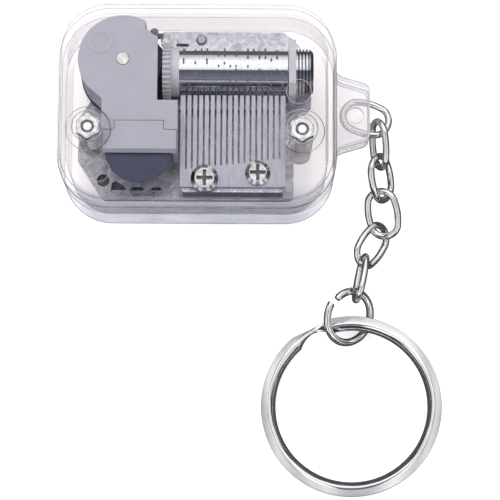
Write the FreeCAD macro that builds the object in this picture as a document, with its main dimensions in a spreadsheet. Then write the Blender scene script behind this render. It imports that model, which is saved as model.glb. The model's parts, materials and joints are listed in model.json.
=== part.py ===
import FreeCAD, Part
import math
import os
import re

Vector = FreeCAD.Vector
Placement = FreeCAD.Placement
Rotation = FreeCAD.Rotation
X, Y, Z = Vector(1, 0, 0), Vector(0, 1, 0), Vector(0, 0, 1)

# A wind-up cylinder music box on a key chain, lying on its back. Millimetres.
# The origin is the centre of the case's back face: +X to the chain lug, +Y to the cylinder
# side, +Z out of the front of the case.
doc = FreeCAD.newDocument("MusicBox")
sheet = doc.addObject("Spreadsheet::Sheet", "Dims")

DIMS = {
    # clear case
    "case_w": 49.2, "case_l": 36.4, "case_t": 20.0, "wall": 1.5, "front_wall": 1.8, "corner_r": 9.0,
    "edge_r": 1.2, "split_z": 10.0, "post_r": 2.1, "bolt_r": 0.85, "nut_af": 4.0, "nut_t": 1.6,
    "bolt_left_x": -19.2, "bolt_left_y": -4.5, "bolt_right_x": 18.45, "bolt_right_y": -4.8,
    "lug_post_x": 28.2, "lug_post_r": 1.5, "lug_gap": 1.8, "lug_plate": 2.4,
    # bedplate
    "bed_z": 4.6, "bed_t": 1.0, "deck_z": 6.6, "deck_t": 1.0, "seat_z": 11.9,
    # spring barrel and winding arbor
    "barrel_x": -13.3, "barrel_y": 8.3, "drum_r": 6.7, "drum_wall": 0.7, "drum_top": 14.6,
    "crown_r": 8.1, "crown_z": 5.9, "crown_t": 0.7, "crown_top": 7.2, "arbor_r": 1.3,
    "arbor_end_r": 1.1, "arbor_top": 17.7, "knob_r": 6.9, "pocket_r": 7.4, "pocket_z": 3.2,
    # toothed wheels
    "tooth_module": 0.28, "barrel_teeth": 56, "cylinder_teeth": 36, "idler_teeth": 35,
    "worm_teeth": 30, "gear_gap": 0.05, "running": 0.05,
    # pinned cylinder
    "cyl_y": 7.3, "cyl_z": 12.2, "cyl_r": 3.9, "cyl_left": -3.4, "cyl_right": 16.0,
    "gear_left": -6.3, "gear_t": 1.4, "pin_r": 0.16, "pin_out": 0.4, "shaft_r": 0.8,
    # comb
    "comb_left": -3.1, "comb_right": 15.6, "comb_low": -13.8, "comb_t": 0.8, "comb_count": 18,
    "slit_w": 0.34, "root_left": -10.7, "root_right": -8.5, "screw_left_x": 1.25,
    "screw_left_y": -12.3, "screw_right_x": 10.7, "screw_right_y": -11.3, "comb_screw_r": 0.9,
    # governor
    "gov_x": -10.45, "gov_y": -7.9, "worm_r": 1.1, "disc_r": 5.85, "disc_z": 15.85,
    # covers
    "cover_r": 7.95, "cover_z": 16.6, "cover_t": 1.0, "cover_wall": 0.8, "cover_low": 7.6,
    # key chain
    "link_len": 9.6, "link_wid": 6.7, "wire_r": 0.65, "jump_r": 4.7, "jump_wire_r": 0.7, "ring_r": 16.15,
    "ring_w": 2.6, "coil_t": 1.5, "coil_gap": 0.06,
}
for row, (alias, size) in enumerate(DIMS.items(), 1):
    sheet.set(f"A{row}", alias)
    sheet.set(f"B{row}", str(size))
    sheet.setAlias(f"B{row}", alias)
doc.recompute()


def val(alias):
    """A driving dimension, read back from the sheet."""
    return float(sheet.get(alias))


def expression(text):
    """The text with every driving dimension's name pointed at the sheet."""
    return re.sub(r"[a-z]\w*", lambda m: f"Dims.{m[0]}" if m[0] in DIMS else m[0], str(text))


def bind(obj, **sizes):
    for prop, text in sizes.items():
        obj.setExpression(prop.replace("__", "."), expression(text))
    return obj


def place(obj, at, along=Z):
    """Puts a primitive at a point given as three expressions, with its axis turned along a vector."""
    obj.Placement = Placement(Vector(), Rotation(Z, along))
    bind(obj, Placement__Base__x=at[0], Placement__Base__y=at[1], Placement__Base__z=at[2])
    return obj


def rod(radius, height, at, along=Z):
    obj = doc.addObject("Part::Cylinder", "Rod")
    bind(obj, Radius=radius, Height=height)
    return place(obj, at, along)


def cone(low, high, height, at, along=Z):
    obj = doc.addObject("Part::Cone", "Cone")
    bind(obj, Radius1=low, Radius2=high, Height=height)
    return place(obj, at, along)


def block(length, width, height, at):
    obj = doc.addObject("Part::Box", "Block")
    bind(obj, Length=length, Width=width, Height=height)
    return place(obj, at)


def solid(shape, at=None):
    """A shape that no primitive gives: toothed wheels, castings' outlines, wire and springs."""
    obj = doc.addObject("Part::Feature", "Shape")
    obj.Shape = shape
    if at is not None:
        obj.Placement = at
    return obj


def fuse(*parts):
    if len(parts) == 1:
        return parts[0]
    obj = doc.addObject("Part::MultiFuse", "Fuse")
    obj.Shapes = list(parts)
    obj.Refine = True
    return obj


def cut(base, *tools):
    obj = doc.addObject("Part::Cut", "Cut")
    obj.Base = base
    obj.Tool = fuse(*tools)
    return obj


def group(*parts):
    obj = doc.addObject("Part::Compound", "Group")
    obj.Links = list(parts)
    return obj


nodes = []


def node(label, obj):
    obj.Label = label
    nodes.append(obj)
    return obj


def polar(radius, angle, height=0.0):
    return Vector(radius * math.cos(angle), radius * math.sin(angle), height)


def outline(points, corner=0.0):
    """A closed polygon face in the XY plane, its corners rounded by one radius or by their own."""
    sides = []
    count = len(points)
    ends = []
    flat = [Vector(*point[:2], 0) for point in points]
    for i, point in enumerate(points):
        here = flat[i]
        back = (flat[i - 1] - here).normalize()
        on = (flat[(i + 1) % count] - here).normalize()
        half = back.getAngle(on) / 2
        radius = point[2] if len(point) > 2 else corner
        run = radius / math.tan(half)
        ends.append((here + back * run, here + on * run, here, half, radius))
    for i in range(count):
        before, after, here, half, radius = ends[i]
        if radius > 0:
            inward = ((before - here).normalize() + (after - here).normalize()).normalize()
            middle = here + inward * (radius / math.sin(half) - radius)
            sides.append(Part.Arc(before, middle, after).toShape())
        sides.append(Part.makeLine(after, ends[(i + 1) % count][0]))
    return Part.Face(Part.Wire(Part.__sortEdges__(sides)))


def slab(points, low, thick, corner=0.0):
    """An outline made solid from one height up."""
    face = outline(points, corner)
    face.translate(Vector(0, 0, low))
    return face.extrude(Vector(0, 0, thick))


def toothed_face(teeth, root, tip, root_part, tip_part, turn=0.0):
    """A wheel's outline: each tooth fills a part of the tooth pitch at its root and at its tip."""
    pitch = 2 * math.pi / teeth
    sides = []
    for i in range(teeth):
        mid = turn + i * pitch
        low = root_part * pitch / 2
        high = tip_part * pitch / 2
        a, b = polar(root, mid - low), polar(tip, mid - high)
        c, d = polar(tip, mid + high), polar(root, mid + low)
        next_root = polar(root, mid + pitch - low)
        sides.append(Part.makeLine(a, b))
        sides.append(Part.Arc(b, polar(tip, mid), c).toShape())
        sides.append(Part.makeLine(c, d))
        sides.append(Part.Arc(d, polar(root, mid + pitch / 2), next_root).toShape())
    return Part.Face(Part.Wire(sides))


def spur(teeth, thick, bore, turn):
    """A spur gear along +Z from the origin, with slim teeth that leave backlash."""
    pitch_r = teeth * val("tooth_module") / 2
    face = toothed_face(teeth, pitch_r - 0.3, pitch_r + 0.25, 0.5, 0.24, turn)
    gear = face.extrude(Vector(0, 0, thick))
    return gear.cut(Part.makeCylinder(bore, 3 * thick, Vector(0, 0, -thick)))


def on_x_shaft(x, y, z):
    """A wheel made along +Z stands on a shaft along +X: its +X goes to +Y, its +Y to +Z."""
    turned = Rotation(Y, Z, X, "ZXY")
    return Placement(Vector(x, y, z), turned)


# ---- Clear case: two shells with screw posts, a winding pocket and a split chain lug ----

case_w, case_l, case_t = val("case_w"), val("case_l"), val("case_t")


def rounded_box(inset, low, high, corner, low_edge, high_edge):
    """The case's rounded rectangle, inset from its outside, with its rims rounded."""
    half_w, half_l = case_w / 2 - inset, case_l / 2 - inset
    corners = [(-half_w, -half_l), (half_w, -half_l), (half_w, half_l), (-half_w, half_l)]
    shape = slab(corners, low, high - low, corner)
    for height, radius in ((low, low_edge), (high, high_edge)):
        if radius > 0:
            rim = [e for e in shape.Edges if abs(e.BoundBox.ZMin - height) < 1e-6
                   and abs(e.BoundBox.ZMax - height) < 1e-6]
            shape = shape.makeFillet(radius, rim)
    return shape


wall, front_wall, split_z = val("wall"), val("front_wall"), val("split_z")
bolts = (("bolt_left_x", "bolt_left_y"), ("bolt_right_x", "bolt_right_y"))
edge_r, corner_r = val("edge_r"), val("corner_r")
lug_x = val("lug_post_x")
# its sides curve out of the case wall, and run slanting in to a blunt tip
LUG = [(22.8, -9.9, 0), (24.55, -9.9, 0), (24.55, -6.75, 2.0), (30.7, -4.95, 1.3), (30.7, 4.95, 1.3),
       (24.55, 6.75, 2.0), (24.55, 9.9, 0), (22.8, 9.9, 0)]


def lug_plate(low):
    plate = slab(LUG, low, val("lug_plate"))
    return solid(plate.cut(rounded_box(wall / 2, -1, case_t + 1, corner_r - 0.7, 0, 0)))


front_box = solid(rounded_box(0, split_z, case_t, corner_r, 0, edge_r))
front_room = solid(rounded_box(wall, split_z - 1, case_t - front_wall, corner_r - wall, 0, 1.0))
front_body = cut(front_box, front_room)
front_posts = [rod("post_r", "case_t - 0.5 - bed_z - bed_t", (x, y, "bed_z + bed_t")) for x, y in bolts]
front_bosses = [rod(3.95, 1.0, (x, y, "case_t - 2.2")) for x, y in bolts]
front_lug = lug_plate(split_z + val("lug_gap") / 2)
front_pin = rod("lug_post_r", "lug_gap / 2 + 0.5", ("lug_post_x", 0, "split_z"))
bolt_holes = [rod("bolt_r + 0.1", 30, (x, y, -5)) for x, y in bolts]
nut_seats = [rod("nut_af * 0.6 + 0.3", 3, (x, y, "case_t - nut_t - 0.1")) for x, y in bolts]
node("front_shell", cut(fuse(front_body, *front_posts, *front_bosses, front_lug, front_pin),
                        *bolt_holes, *nut_seats))

back_box = solid(rounded_box(0, 0, split_z, corner_r, edge_r, 0))
back_room = solid(rounded_box(wall, front_wall, split_z + 1, corner_r - wall, 1.0, 0))
back_body = cut(back_box, back_room)
# the bedplate is clamped between the left posts; its edge only has a notch for the right ones, which meet
back_posts = [rod("post_r", height, (x, y, 1)) for (x, y), height in zip(bolts, ("bed_z - 1", "bed_z + bed_t - 1"))]
pocket_wall = solid(Part.makeCylinder(val("pocket_r") + 0.8, val("pocket_z") - 0.1,
                                      Vector(val("barrel_x"), val("barrel_y"), 1)).common(
    rounded_box(0.5, 0, split_z, corner_r - 0.5, 0, 0)))
back_lug = lug_plate(split_z - val("lug_gap") / 2 - val("lug_plate"))
back_pin = rod("lug_post_r", "lug_gap / 2 + 0.5", ("lug_post_x", 0, "split_z - lug_gap / 2 - 0.5"))
pocket = rod("pocket_r", "pocket_z + 1", ("barrel_x", "barrel_y", -1))
arbor_hole = rod("arbor_r + 0.2", 8, ("barrel_x", "barrel_y", -1))
back_holes = [rod("bolt_r + 0.1", 30, (x, y, -5)) for x, y in bolts]
head_seats = [rod(2.15, 2.5, (x, y, -1)) for x, y in bolts]
node("back_shell", cut(fuse(back_body, *back_posts, pocket_wall, back_lug, back_pin),
                       pocket, arbor_hole, *back_holes, *head_seats))

# ---- Case bolts with cross-slotted heads at the back, and hexagon nuts in the front ----


def cross_slot(x, y, z, reach, thick=0.5):
    """Two crossed blades that cut a driver recess."""
    blades = []
    for length, width in ((reach, thick), (thick, reach)):
        blades.append(block(length, width, 1.2, (f"{x} - {length / 2}", f"{y} - {width / 2}", z)))
    return blades


for name, (x, y) in zip(("left", "right"), bolts):
    shank = fuse(rod("bolt_r", "case_t - 1.0", (x, y, 0.4)), cone("bolt_r", "bolt_r - 0.25", 0.2, (x, y, "case_t - 0.6")))
    head = rod(1.95, 1.2, (x, y, 0.2))
    node(f"case_bolt_{name}", cut(fuse(shank, head), *cross_slot(x, y, -0.2, 2.4)))

for name, (x, y) in zip(("left", "right"), bolts):
    corner = val("nut_af") / math.sqrt(3)
    hexagon = [(corner * math.cos(math.radians(60 * i + 30)), corner * math.sin(math.radians(60 * i + 30)))
               for i in range(6)]
    prism = slab(hexagon, 0, val("nut_t"))
    bevel = Part.makeCone(corner + 2.9, corner - 0.1, 1.8, Vector(0, 0, val("nut_t") - 1.8))
    nut = solid(prism.common(bevel), Placement(Vector(val(x), val(y), val("case_t") - val("nut_t") - 0.05),
                                               Rotation()))
    bore = rod("bolt_r + 0.02", 4, (x, y, "case_t - 3"))
    mouth = cone("bolt_r", "bolt_r + 0.45", 0.75, (x, y, "case_t - 0.7"))
    node(f"case_nut_{name}", cut(nut, bore, mouth))

# ---- Bedplate: cast floor, raised deck under the cylinder, comb seat ----

BED = [(-21.9, -7.5), (-17.2, -14.8), (17.2, -14.8), (17.2, -0.6), (20.4, 2.6), (20.4, 9.6), (16.2, 15.6),
       (-6.0, 15.6), (-6.0, 1.0), (-15.0, 1.0), (-15.0, 4.6), (-19.0, 4.6), (-21.6, 0.6)]
bed_z, bed_t = val("bed_z"), val("bed_t")
barrel_x, barrel_y = val("barrel_x"), val("barrel_y")
bed_floor = solid(slab(BED, bed_z, bed_t, 1.2))
barrel_arm = solid(Part.makeCylinder(5.2, bed_t, Vector(barrel_x, barrel_y, bed_z)).fuse(
    Part.makeBox(10.4, 12, bed_t, Vector(barrel_x - 5.2, barrel_y - 12, bed_z))))
deck = solid(slab([(-4.4, 1.6), (14.6, 1.6), (18.4, 4.6), (18.4, 13.4), (15.4, 16.1), (-7.0, 16.1),
                   (-7.0, 13.4), (-4.4, 13.4)], val("deck_z"), val("deck_t"), 0.8))
deck_wall = block(22, 1.4, "deck_z + 0.5 - bed_z", (-6.6, 14.0, "bed_z"))
deck_rib = block(18, 1.2, "deck_z + 0.5 - bed_z", (-4.0, 2.2, "bed_z"))
seat = solid(slab([(-2.9, -14.6), (15.3, -14.6), (15.3, -9.7), (-2.9, -11.6)], bed_z,
                  val("seat_z") - bed_z, 0.6))
post_notch = rod("post_r + 0.1", 9, ("bolt_right_x", "bolt_right_y", "bed_z - 1"))
post_arm = block(2.0, 1.0, 0.25, (-8.5, 14.8, "crown_top + 0.15"))
spring_post = rod(0.8, 2.6, (-8.1, 15.3, "crown_top + 0.15"))
# blind pockets that lighten the casting in front of the governor
POCKETS = [[(-15.8, -12.95), (-13.0, -12.95), (-13.2, -12.3), (-14.9, -11.3), (-15.6, -11.6)],
           [(-12.5, -13.0), (-9.5, -13.0), (-10.2, -12.35), (-11.8, -12.35)],
           [(-8.8, -13.0), (-6.5, -13.0), (-6.9, -12.4), (-8.3, -12.4)]]
pocket_floor = bed_z + 0.3
pockets = [solid(slab(shape, pocket_floor, 2, 0.15)) for shape in POCKETS]
pockets.append(rod(1.15, 2, (-17.2, -11.2, pocket_floor)))
bed_bolts = [rod("bolt_r + 0.1", 9, (x, y, "bed_z - 1")) for x, y in bolts]
comb_screws = (("screw_left_x", "screw_left_y"), ("screw_right_x", "screw_right_y"))
comb_threads = [rod("comb_screw_r + 0.02", 8, (x, y, "bed_z + 1.4")) for x, y in comb_screws]
gov_pivot = rod(0.45, 0.7, ("gov_x", "gov_y", "bed_z + bed_t - 0.6"))
bed_bearing = rod("arbor_r + running", 4, ("barrel_x", "barrel_y", "bed_z - 1"))
idler_slot = block(2.4, 6, 4, ("gear_left - 0.5", -5.5, "bed_z - 1"))
deck_slot = solid(slab([(-4.2, 13.3), (-1.9, 13.3), (-1.9, 13.9), (-4.2, 13.9)], 6, 3, 0.25))
rivet_hole = rod(0.6, 3, (0.4, 14.6, "deck_z - 0.4"))
node("bedplate", cut(fuse(bed_floor, barrel_arm, deck, deck_wall, deck_rib, seat, post_arm, spring_post),
                     *pockets, *bed_bolts, post_notch, *comb_threads, gov_pivot, bed_bearing, idler_slot, deck_slot,
                     rivet_hole))
node("deck_rivet", fuse(rod(0.58, 1.0, (0.4, 14.6, "deck_z - 0.3")),
                        cone(1.0, 0.7, 0.4, (0.4, 14.6, "deck_z + deck_t"))))

# ---- Steel comb with tuned teeth, bass weights and two cross-slotted screws ----

comb_left, comb_right, comb_low = val("comb_left"), val("comb_right"), val("comb_low")
seat_z, comb_t = val("seat_z"), val("comb_t")
tip_y = val("cyl_y") - val("cyl_r") - val("pin_out") - 0.06
tooth_pitch = (comb_right - comb_left) / val("comb_count")
comb_plate = solid(slab([(comb_left, comb_low), (comb_right, comb_low), (comb_right, tip_y), (comb_left, tip_y)],
                        seat_z, comb_t, 0.05))
slits = []
for i in range(1, int(val("comb_count"))):
    x = comb_left + i * tooth_pitch
    part = i / val("comb_count")
    root = val("root_left") + part * (val("root_right") - val("root_left"))
    slits.append(block("slit_w", tip_y - root + 1, 3, (f"{x} - slit_w / 2", root, "seat_z - 1")))
comb_holes = [rod("comb_screw_r + 0.1", 3, (x, y, "seat_z - 1")) for x, y in comb_screws]
node("comb", cut(comb_plate, *slits, *comb_holes))
weights = []
for i in range(7):
    x = comb_left + (i + 0.5) * tooth_pitch
    drop = 1.3 - 0.13 * i
    weights.append(block(0.56, 1.9, drop, (x - 0.28, tip_y - 2.6, seat_z - drop)))
node("comb_weights", group(*weights))
for name, (x, y), head_r in zip(("left", "right"), comb_screws, (2.45, 2.25)):
    top = seat_z + comb_t
    head = fuse(rod(head_r, 0.45, (x, y, top)), cone(head_r, head_r - 0.7, 0.55, (x, y, top + 0.45)))
    shank = rod("comb_screw_r", "comb_t + 4.5", (x, y, "seat_z - 4.5"))
    node(f"comb_screw_{name}", cut(fuse(head, shank), *cross_slot(x, y, top + 0.35, 2.9, 0.65)))

# ---- Pinned cylinder: tube, pins, toothed wheel with its flange, end plug ----

cyl_y, cyl_z, cyl_r = val("cyl_y"), val("cyl_z"), val("cyl_r")
cyl_left, cyl_right = val("cyl_left"), val("cyl_right")
tube = rod("cyl_r", "cyl_right - cyl_left", ("cyl_left", "cyl_y", "cyl_z"), X)
tube_bore = rod("cyl_r - 0.6", "cyl_right - cyl_left + 2", ("cyl_left - 1", "cyl_y", "cyl_z"), X)
node("cylinder_tube", cut(tube, tube_bore))
pins = []
tune_length = 150
for i in range(tune_length):
    voice = (i * 7 + i // 11 * 5 + i // 4) % int(val("comb_count"))
    turn = math.radians(360 * i / tune_length + (i * 37 % 11) * 1.7)
    along = Vector(0, math.cos(turn), math.sin(turn))
    foot = Vector(comb_left + (voice + 0.5) * tooth_pitch, cyl_y, cyl_z) + along * (cyl_r - 0.02)
    if cyl_left + 0.2 < foot.x < cyl_right - 0.2:
        pins.append(Part.makeCylinder(val("pin_r"), val("pin_out") + 0.02, foot, along))
node("cylinder_pins", solid(Part.makeCompound(pins)))

gear_left, gear_t, module = val("gear_left"), val("gear_t"), val("tooth_module")
shaft_bore = val("shaft_r") + val("running")
# a gap of the wheel faces straight down, where the barrel's crown teeth come up
cyl_turn = math.pi * 1.5 + math.pi / val("cylinder_teeth")
wheel = solid(spur(int(val("cylinder_teeth")), gear_t, shaft_bore, cyl_turn), on_x_shaft(gear_left, cyl_y, cyl_z))
flange = rod("cyl_r + 0.5", "cyl_left - gear_left - gear_t", ("gear_left + gear_t", "cyl_y", "cyl_z"), X)
spigot = rod("cyl_r - 0.6", 2, ("cyl_left", "cyl_y", "cyl_z"), X)
wheel_bore = rod("shaft_r + running", 9, ("gear_left - 1", "cyl_y", "cyl_z"), X)
node("cylinder_wheel", cut(fuse(wheel, flange, spigot), wheel_bore))
plug = rod("cyl_r - 0.6", 1.6, ("cyl_right - 1.6", "cyl_y", "cyl_z"), X)
plug_bore = rod("shaft_r + running", 4, ("cyl_right - 3", "cyl_y", "cyl_z"), X)
node("cylinder_plug", cut(plug, plug_bore))

# ---- Cylinder's fixed shaft, its end plate and the ridged bearing cup ----

plate_left, cup_left, cup_len = 16.15, 17.45, 3.1
node("cylinder_shaft", rod("shaft_r", cup_left + cup_len - 0.5 + 6.5, (-6.5, "cyl_y", "cyl_z"), X))
end_plate = solid(slab([(-5.2, -4.4), (5.2, -4.4), (5.2, 3.6), (3.2, 5.2), (-3.2, 5.2), (-5.2, 3.6)], 0, 1.25, 0.9),
                  on_x_shaft(plate_left, cyl_y, cyl_z))
plate_hole = rod("shaft_r + 0.01", 4, (plate_left - 1, "cyl_y", "cyl_z"), X)
node("end_plate", cut(end_plate, plate_hole))
cup_r, cup_round = 4.15, 0.6
cup = fuse(rod(cup_r, cup_len - cup_round, (cup_left, "cyl_y", "cyl_z"), X),
           cone(cup_r, cup_r - cup_round, cup_round, (cup_left + cup_len - cup_round, "cyl_y", "cyl_z"), X))
grooves = []
for i in range(4):
    at = (cup_left + 0.3 + 0.6 * i, "cyl_y", "cyl_z")
    grooves.append(cut(rod(5, 0.3, at, X), rod(cup_r - 0.35, 0.3, at, X)))
cup_hole = rod("shaft_r + 0.01", 9, (cup_left - 1, "cyl_y", "cyl_z"), X)
node("bearing_cup", cut(cup, cup_hole, *grooves))

# ---- Spring barrel: drum with crown teeth, lid, mainspring ----

crown_r, crown_z, crown_t, crown_top = val("crown_r"), val("crown_z"), val("crown_t"), val("crown_top")
drum = rod("drum_r", "drum_top - crown_z", ("barrel_x", "barrel_y", "crown_z"))
crown_disc = rod("crown_r", "crown_t", ("barrel_x", "barrel_y", "crown_z"))
drum_room = rod("drum_r - drum_wall", "drum_top", ("barrel_x", "barrel_y", "crown_z + crown_t"))
drum_hole = rod("arbor_r + running", 9, ("barrel_x", "barrel_y", "crown_z - 1"))
barrel_teeth = int(val("barrel_teeth"))
mesh_way = math.atan2(cyl_y - barrel_y, gear_left + gear_t / 2 - barrel_x)
crown_teeth = []
for i in range(barrel_teeth):
    turn = mesh_way + 2 * math.pi * i / barrel_teeth
    low, high = 0.15, 0.08
    ends = []
    for radius in (crown_r - 1.0, crown_r):
        at = Placement(Vector(barrel_x, barrel_y, 0), Rotation(Z, math.degrees(turn)))
        points = [(radius, -low, crown_z + crown_t - 0.05), (radius, -high, crown_top),
                  (radius, high, crown_top), (radius, low, crown_z + crown_t - 0.05)]
        ends.append(Part.makePolygon([at.multVec(Vector(*p)) for p in points + points[:1]]))
    crown_teeth.append(solid(Part.makeLoft(ends, True, True)))
node("spring_barrel", cut(fuse(cut(drum, drum_room), crown_disc, *crown_teeth), drum_hole))
lid = rod("drum_r - drum_wall", 0.6, ("barrel_x", "barrel_y", "drum_top - 0.6"))
lid_hole = rod("arbor_r + running", 3, ("barrel_x", "barrel_y", "drum_top - 1.5"))
node("barrel_lid", cut(lid, lid_hole))


def spiral_strip(inner, outer, turns, thick, low, tall):
    """A flat spring's strip wound in a spiral, as one solid."""
    steps = int(turns * 12)
    inside, outside = [], []
    for i in range(steps + 1):
        turn = 2 * math.pi * turns * i / steps
        radius = inner + (outer - inner) * i / steps
        inside.append(polar(radius - thick / 2, turn, low))
        outside.append(polar(radius + thick / 2, turn, low))
    curves = []
    for points in (inside, outside):
        curve = Part.BSplineCurve()
        curve.interpolate(points)
        curves.append(curve.toShape())
    caps = [Part.makeLine(inside[0], outside[0]), Part.makeLine(inside[-1], outside[-1])]
    wire = Part.Wire(Part.__sortEdges__(curves + caps))
    return Part.Face(wire).extrude(Vector(0, 0, tall))


spring = spiral_strip(val("arbor_r") + 1.35, val("drum_r") - val("drum_wall") - 0.12, 6, 0.18, 0, 6.6)
node("mainspring", solid(spring, Placement(Vector(barrel_x, barrel_y, crown_z + crown_t + 0.1), Rotation())))

# ---- Winding side: arbor, ratchet wheel, click with its spring, and the winding knob ----

arbor_low = rod("arbor_r", 13.6, ("barrel_x", "barrel_y", 2.2))
arbor_tip = rod("arbor_end_r", "arbor_top - 15.7", ("barrel_x", "barrel_y", 15.7))
arbor_hub = rod("arbor_r + 1.1", 6.4, ("barrel_x", "barrel_y", "crown_z + crown_t + 0.2"))
node("winding_arbor", fuse(arbor_low, arbor_tip, arbor_hub))
RATCHET_TEETH = 20
ratchet_z, ratchet_r = 14.85, 3.3
saw = []
for i in range(RATCHET_TEETH):
    start = 2 * math.pi * i / RATCHET_TEETH
    stop = 2 * math.pi * (i + 1) / RATCHET_TEETH
    tip, root, foot = polar(ratchet_r, start), polar(ratchet_r - 0.55, start), polar(ratchet_r - 0.55, stop)
    saw.append(Part.makeLine(root, tip))
    saw.append(Part.makeLine(tip, foot))
ratchet = Part.Face(Part.Wire(Part.__sortEdges__(saw))).extrude(Vector(0, 0, 0.8))
ratchet = ratchet.cut(Part.makeCylinder(val("arbor_r") + 0.01, 3, Vector(0, 0, -1)))
node("ratchet_wheel", solid(ratchet, Placement(Vector(barrel_x, barrel_y, ratchet_z), Rotation(Z, 3))))

click_x, click_y = barrel_x - 5.3, barrel_y
click_arm = slab([(0.7, 0.75), (-0.8, 0.4), (-0.75, -0.8), (2.1, -2.3), (2.44, -1.79), (1.2, -0.9)], 0, 0.8)
click_eye = Part.makeCylinder(0.95, 0.8)
click_body = click_arm.fuse(click_eye).cut(Part.makeCylinder(0.55, 3, Vector(0, 0, -1)))
node("click", solid(click_body, Placement(Vector(click_x, click_y, ratchet_z), Rotation())))
spring_foot = Part.makeBox(0.9, 0.9, val("cover_z") - ratchet_z, Vector(-18.6, 4.3, ratchet_z))
spring_leaf = Part.makeBox(0.16, 1.7, 0.8, Vector(-18.6, 5.15, ratchet_z))
node("click_spring", solid(spring_foot.fuse(spring_leaf).removeSplitter()))

knob_disc = rod("knob_r", 1.0, ("barrel_x", "barrel_y", 2.1))
knob_grip = block("knob_r * 1.8", 1.6, 1.9, ("barrel_x - knob_r * 0.9", "barrel_y - 0.8", 0.25))
knob_hub = rod(2.4, 2.0, ("barrel_x", "barrel_y", 0.25))
knob_bore = rod("arbor_r", 3, ("barrel_x", "barrel_y", 2.2))
node("winding_knob", cut(fuse(knob_disc, knob_grip, knob_hub), knob_bore))

# ---- Governor train: idler shaft with its gear and worm wheel, worm, disc, weights ----

gov_x, gov_y = val("gov_x"), val("gov_y")
worm_r, worm_teeth, idler_teeth = val("worm_r"), int(val("worm_teeth")), int(val("idler_teeth"))
worm_wheel_r = worm_teeth * module / 2
idler_y = gov_y + worm_r + worm_wheel_r + val("gear_gap")
reach = (val("cylinder_teeth") + idler_teeth) * module / 2 + val("gear_gap")
idler_z = cyl_z - math.sqrt(reach ** 2 - (cyl_y - idler_y) ** 2)
# the idler's gap faces the cylinder wheel's tooth on the line between their centres
line = math.atan2(idler_z - cyl_z, idler_y - cyl_y)
cyl_pitch, idler_pitch = 2 * math.pi / val("cylinder_teeth"), 2 * math.pi / idler_teeth
lead = (line - cyl_turn) / cyl_pitch
idler_turn = line + math.pi + (0.5 + lead - round(lead)) * idler_pitch
node("idler_shaft", rod(0.6, 13.2, (-16.95, idler_y, idler_z), X))
idler_at = on_x_shaft(gear_left, idler_y, idler_z)
node("idler_gear", solid(spur(idler_teeth, gear_t, 0.6, idler_turn), idler_at))
worm_wheel_turn = math.pi
worm_wheel = toothed_face(worm_teeth, worm_wheel_r - 0.3, worm_wheel_r + 0.22, 0.42, 0.2, worm_wheel_turn)
worm_wheel = worm_wheel.extrude(Vector(0, 0, 0.8)).fuse(Part.makeCylinder(1.4, 1.6, Vector(0, 0, -0.4)))
worm_wheel = worm_wheel.cut(Part.makeCylinder(0.6, 4, Vector(0, 0, -2)))
node("worm_wheel", solid(worm_wheel, on_x_shaft(gov_x - 0.4, idler_y, idler_z)))

lead_len = math.pi * module
thread_low, thread_turns = idler_z - 2.25 * lead_len, 4.5
helix = Part.makeHelix(lead_len, lead_len * thread_turns, 0.75)
profile = Part.makePolygon([Vector(0.7, 0, -0.17), Vector(worm_r + 0.22, 0, -0.07), Vector(worm_r + 0.22, 0, 0.07),
                            Vector(0.7, 0, 0.17), Vector(0.7, 0, -0.17)])
sweep = Part.BRepOffsetAPI.MakePipeShell(Part.Wire(helix.Edges))
sweep.setFrenetMode(True)
sweep.add(profile)
sweep.build()
sweep.makeSolid()
thread = sweep.shape()
core = Part.makeCylinder(0.78, lead_len * thread_turns + 0.8, Vector(0, 0, -0.4))
worm_body = core.fuse(thread)
staff_low, staff_top = bed_z + bed_t - 0.4, 17.0
worm_turn = 180
worm_solid = worm_body.copy()
worm_solid.rotate(Vector(), Z, worm_turn)
worm_solid.translate(Vector(0, 0, thread_low))
staff = Part.makeCylinder(0.4, staff_top - staff_low, Vector(0, 0, staff_low))
node("governor_worm", solid(worm_solid.fuse(staff), Placement(Vector(gov_x, gov_y, 0), Rotation())))
disc = rod("disc_r", 0.5, ("gov_x", "gov_y", "disc_z"))
disc_hub = rod(1.2, 1.0, ("gov_x", "gov_y", "disc_z - 0.8"))
disc_hole = rod(0.4, 5, ("gov_x", "gov_y", "disc_z - 2"))
node("governor_disc", cut(fuse(disc, disc_hub), disc_hole))
for name, side in (("a", 0), ("b", 180)):
    sector = Part.makeCylinder(3.7, 0.5, Vector(), Z, 110).cut(Part.makeCylinder(1.5, 2, Vector(0, 0, -1)))
    at = Placement(Vector(gov_x, gov_y, val("disc_z") - 0.55), Rotation(Z, side + 35))
    node(f"governor_weight_{name}", solid(sector, at))

# ---- Grey covers over the gears and the governor ----

cover_z, cover_t, cover_wall, cover_low = val("cover_z"), val("cover_t"), val("cover_wall"), val("cover_low")


def cover_face(inset):
    """The gear cover's outline, inset by a wall."""
    radius = val("cover_r") - inset
    center = Vector(barrel_x, barrel_y, 0)
    right, left, step = -7.15, -16.9 + inset, -3.5 - inset
    start, stop = math.radians(60), math.radians(220)
    if inset:
        right = -5.5
    first, last = center + polar(radius, start), center + polar(radius, stop)
    arc = Part.Arc(first, center + polar(radius, (start + stop) / 2), last).toShape()
    path = [last, Vector(left, 1.0, 0), Vector(left, -8.3, 0), Vector(step, -8.3, 0), Vector(step, 0.8, 0),
            Vector(right, 0.8, 0), Vector(right, 12.4, 0), Vector(-8.1, 12.8, 0), Vector(-9.4, 14.0, 0), first]
    lines = [Part.makeLine(a, b) for a, b in zip(path, path[1:])]
    return Part.Face(Part.Wire([arc] + lines))


def cover_solid(inset, low, high):
    face = cover_face(inset)
    face.translate(Vector(0, 0, low))
    return face.extrude(Vector(0, 0, high - low))


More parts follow.
